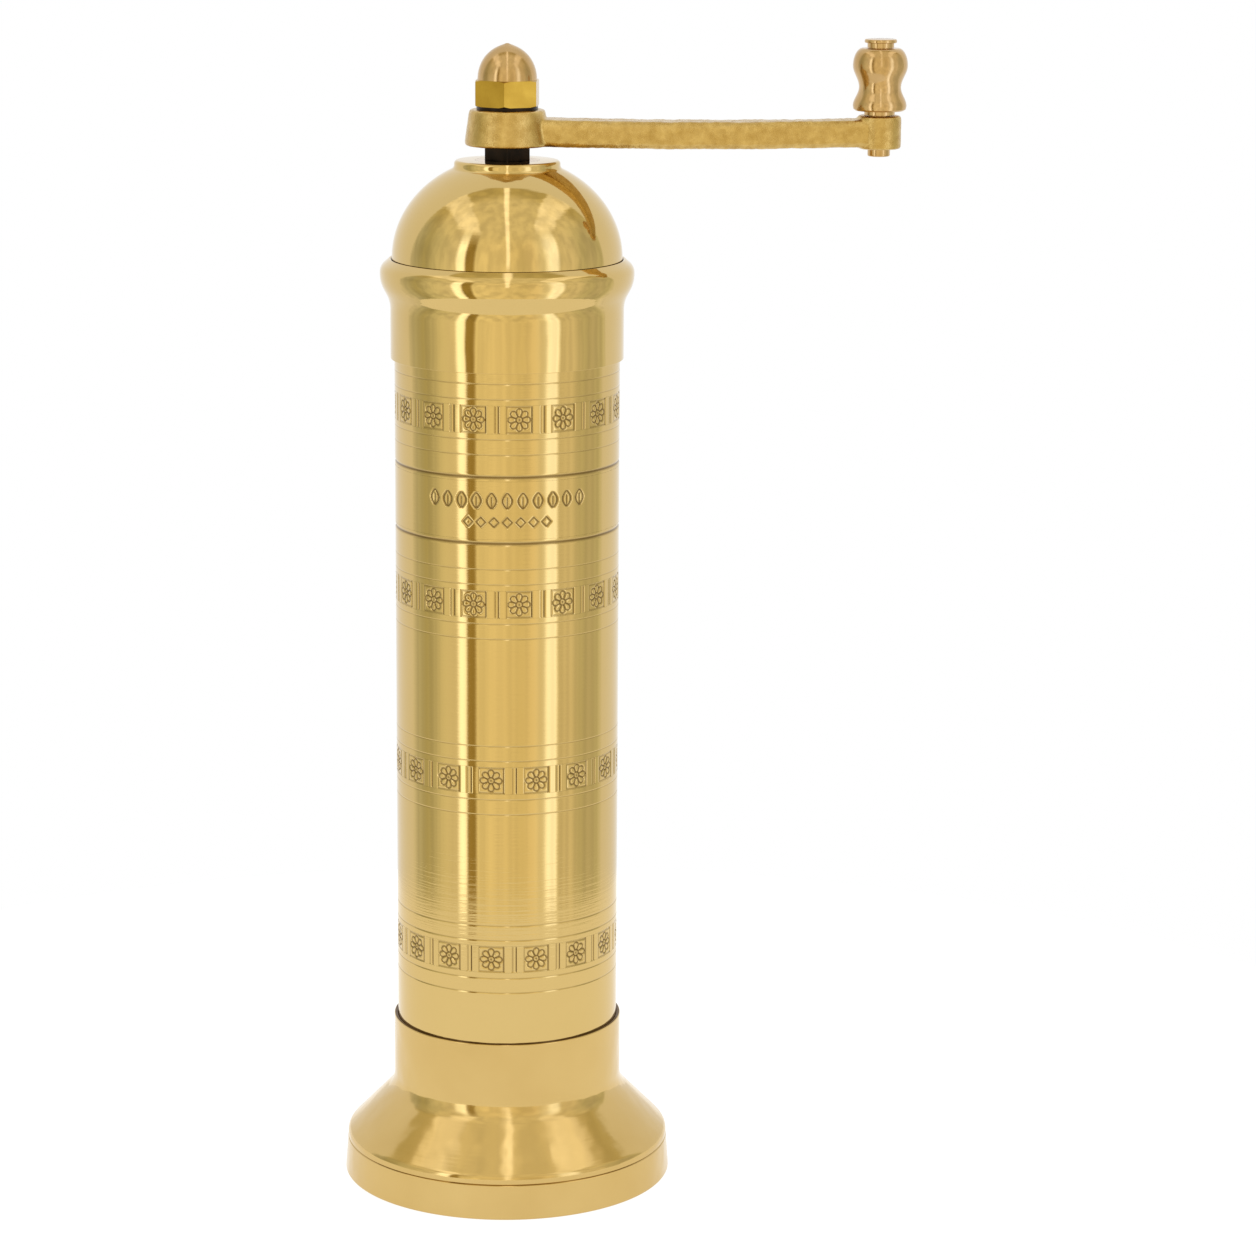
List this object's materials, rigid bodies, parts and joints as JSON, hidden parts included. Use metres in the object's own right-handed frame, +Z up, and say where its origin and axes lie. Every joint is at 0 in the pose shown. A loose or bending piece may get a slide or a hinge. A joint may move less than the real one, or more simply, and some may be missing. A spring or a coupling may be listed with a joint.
{
  "type": "coffee grinder mill",
  "caption": "Tall cylindrical brass hand mill with a flared foot, turned and stamped bands, a domed lid and a top crank; foot, lid, crank, nut and burr setting all move.",
  "frame": {"origin": "centre of the foot's underside, on the mill's axis", "axes": "+Z up along the mill's axis, +X along the crank at rest, -Y the front"},
  "size_m": [0.1111, 0.0662, 0.2301],
  "materials": {
    "brass_polished": "polished, lathe turned",
    "brass_cast": "rough sand cast",
    "brass_turned": "turned",
    "steel_dark": "blackened",
    "steel_bright": "plain zinc plated",
    "iron_burr": "as cast"
  },
  "bodies": {
    "foot": {"foot_shell": "brass_polished", "foot_floor": "brass_polished", "foot_seat": "brass_polished"},
    "barrel": {"barrel_tube": "brass_polished", "guide_bridge": "steel_bright", "guide_rivets": "steel_bright", "burr_carrier": "brass_cast", "carrier_screws": "steel_bright", "stator_burr": "iron_burr", "lower_bridge": "steel_bright", "bridge_screws": "steel_bright", "return_spring": "steel_bright"},
    "lid": {"lid_ring": "brass_polished", "lid_dome": "brass_polished", "lid_bush": "brass_turned"},
    "thrust": {"thrust_pad": "steel_dark"},
    "adjuster": {"adjuster_screw": "brass_turned"},
    "spindle": {"spindle": "steel_dark", "rotor_burr": "iron_burr", "rotor_washer": "steel_dark", "rotor_pin": "steel_dark", "spring_collar": "steel_dark", "collar_screw": "steel_bright"},
    "crank": {"crank_arm": "brass_cast", "knob_rivet": "brass_turned"},
    "knob": {"knob": "brass_turned"},
    "washer": {"nut_washer": "steel_dark"},
    "nut": {"acorn_nut": "brass_turned"}
  },
  "joints": [
    {"name": "barrel_lift", "type": "slide", "parent": "foot", "child": "barrel", "axis": [0, 0, 1], "range_m": [0, 0.045]},
    {"name": "lid_lift", "type": "slide", "parent": "barrel", "child": "lid", "axis": [0, 0, 1], "range_m": [0, 0.06]},
    {"name": "grind_gap", "type": "slide", "parent": "barrel", "child": "thrust", "axis": [0, 0, 1], "range_m": [0, 0.0016], "deforming": ["return_spring"]},
    {"name": "adjuster_turn", "type": "hinge", "parent": "thrust", "child": "adjuster", "pos_m": [0, 0, 0.0195], "axis": [0, 0, 1], "range_deg": [0, 720]},
    {"name": "crank_turn", "type": "hinge", "parent": "thrust", "child": "spindle", "pos_m": [0, 0, 0.0296], "axis": [0, 0, 1], "continuous": true},
    {"name": "crank_lift", "type": "slide", "parent": "spindle", "child": "crank", "axis": [0, 0, 1], "range_m": [0, 0.06]},
    {"name": "knob_spin", "type": "hinge", "parent": "crank", "child": "knob", "pos_m": [0.0726, 0, 0.2163], "axis": [0, 0, 1], "continuous": true},
    {"name": "nut_rise", "type": "slide", "parent": "crank", "child": "washer", "axis": [0, 0, 1], "range_m": [0, 0.0081]},
    {"name": "nut_turn", "type": "hinge", "parent": "washer", "child": "nut", "pos_m": [0, 0, 0.2169], "axis": [0, 0, 1], "range_deg": [0, 3600]}
  ],
  "couplings": [
    {"joint": "lid_lift", "follows": "crank_lift", "ratio": 1},
    {"joint": "adjuster_turn", "follows": "grind_gap", "rad_per_m": 7854},
    {"joint": "nut_rise", "follows": "nut_turn", "m_per_rad": 0.00012732}
  ]
}
